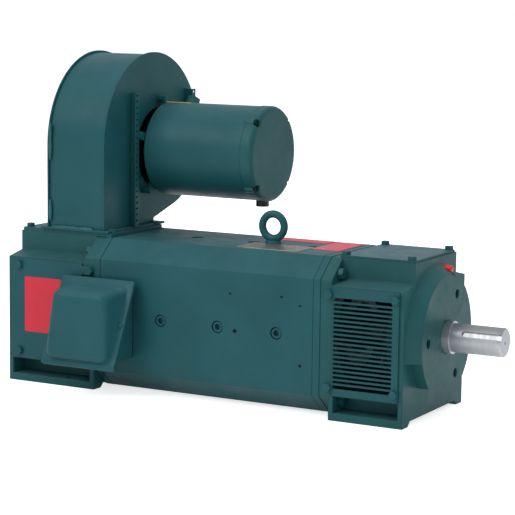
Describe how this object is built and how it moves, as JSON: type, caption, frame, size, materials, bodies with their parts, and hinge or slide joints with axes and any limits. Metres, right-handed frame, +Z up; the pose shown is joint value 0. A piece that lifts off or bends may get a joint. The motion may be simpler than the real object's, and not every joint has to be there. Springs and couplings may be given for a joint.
{
  "type": "direct current shunt motor",
  "caption": "Foot-mounted direct current shunt motor with an octagonal laminated frame, side terminal box, louvred bracket and a scroll blower with its own small motor on top.",
  "frame": {"origin": "centre of the four foot holes, on the mounting plane", "axes": "+X along the shaft to the drive end, +Z up, -Y to the terminal box side"},
  "size_m": [0.8962, 0.4491, 0.576],
  "materials": {
    "teal_frame": "satin",
    "teal_casting": "satin",
    "teal_sheet": "satin",
    "teal_paint": "satin",
    "bright_steel": "machined",
    "bearing_steel": "ground",
    "core_iron": "matte",
    "copper_coil": "varnished copper",
    "copper_bars": "polished copper",
    "brass_boxes": "satin",
    "carbon": "matte carbon",
    "red_plug": "gloss",
    "black_fitting": "matte",
    "dark_screws": "black oxide",
    "zinc_sheet": "zinc plated"
  },
  "bodies": {
    "housing": {"adapter_bolts": "teal_paint", "adapter_plate": "teal_paint", "bearing_cap": "core_iron", "bracket_bolts": "teal_paint", "brush_boxes": "brass_boxes", "brush_studs": "bearing_steel", "cap_screws": "dark_screws", "comm_bearing_outer": "bearing_steel", "comm_bracket": "teal_casting", "comm_cover_far": "teal_sheet", "comm_cover_near": "teal_sheet", "cover_bolts": "teal_paint", "drive_bearing_outer": "bearing_steel", "drive_bracket": "teal_casting", "eyebolt": "teal_paint", "fan_bearings_outer": "bearing_steel", "fan_drain_plug": "black_fitting", "fan_end_bell": "teal_paint", "fan_front_bell": "teal_paint", "fan_lead_outlet": "teal_paint", "fan_lug_screws": "black_fitting", "fan_shell": "teal_paint", "fan_stator": "core_iron", "field_coils": "copper_coil", "grease_plug": "red_plug", "inlet_rails": "teal_sheet", "interpole_coils": "copper_coil", "interpoles": "core_iron", "louvre_panel_far": "teal_sheet", "louvre_panel_near": "teal_sheet", "main_poles": "core_iron", "motor_spider": "teal_paint", "neck_bolts": "teal_paint", "neck_cover": "teal_paint", "pole_bolts": "dark_screws", "rocker_ring": "core_iron", "scroll_back_plate": "teal_sheet", "scroll_lip": "teal_paint", "scroll_motor_plate": "teal_sheet", "scroll_wrap": "teal_sheet", "terminal_base": "teal_sheet", "terminal_cover": "teal_sheet", "terminal_gasket": "black_fitting", "terminal_screws": "teal_paint", "terminal_strip": "black_fitting", "yoke_frame": "teal_frame"},
    "rotor": {"motor_shaft": "bright_steel", "armature_core": "core_iron", "armature_winding": "copper_coil", "commutator": "copper_bars", "drive_bearing_inner": "bearing_steel", "comm_bearing_inner": "bearing_steel"},
    "blower_rotor": {"fan_shaft": "bright_steel", "fan_wheel": "zinc_sheet", "fan_rotor": "core_iron", "fan_bearings_inner": "bearing_steel"},
    "brush_1": {"brush_1": "carbon"},
    "brush_2": {"brush_2": "carbon"},
    "brush_3": {"brush_3": "carbon"},
    "brush_4": {"brush_4": "carbon"}
  },
  "joints": [
    {"name": "rotor_spin", "type": "hinge", "parent": "housing", "child": "rotor", "pos_m": [0, 0, 0.13335], "axis": [1, 0, 0], "continuous": true},
    {"name": "blower_spin", "type": "hinge", "parent": "housing", "child": "blower_rotor", "pos_m": [-0.2226, 0.095, 0.405], "axis": [1, 0, 0], "continuous": true},
    {"name": "brush_1_slide", "type": "slide", "parent": "housing", "child": "brush_1", "axis": [0, 1, 0], "range_m": [0, 0.01], "stiffness_N_per_m": 200, "springref_m": -0.03},
    {"name": "brush_2_slide", "type": "slide", "parent": "housing", "child": "brush_2", "axis": [0, 0, 1], "range_m": [0, 0.01], "stiffness_N_per_m": 200, "springref_m": -0.03},
    {"name": "brush_3_slide", "type": "slide", "parent": "housing", "child": "brush_3", "axis": [0, -1, 0], "range_m": [0, 0.01], "stiffness_N_per_m": 200, "springref_m": -0.03},
    {"name": "brush_4_slide", "type": "slide", "parent": "housing", "child": "brush_4", "axis": [0, 0, -1], "range_m": [0, 0.01], "stiffness_N_per_m": 200, "springref_m": -0.03}
  ]
}
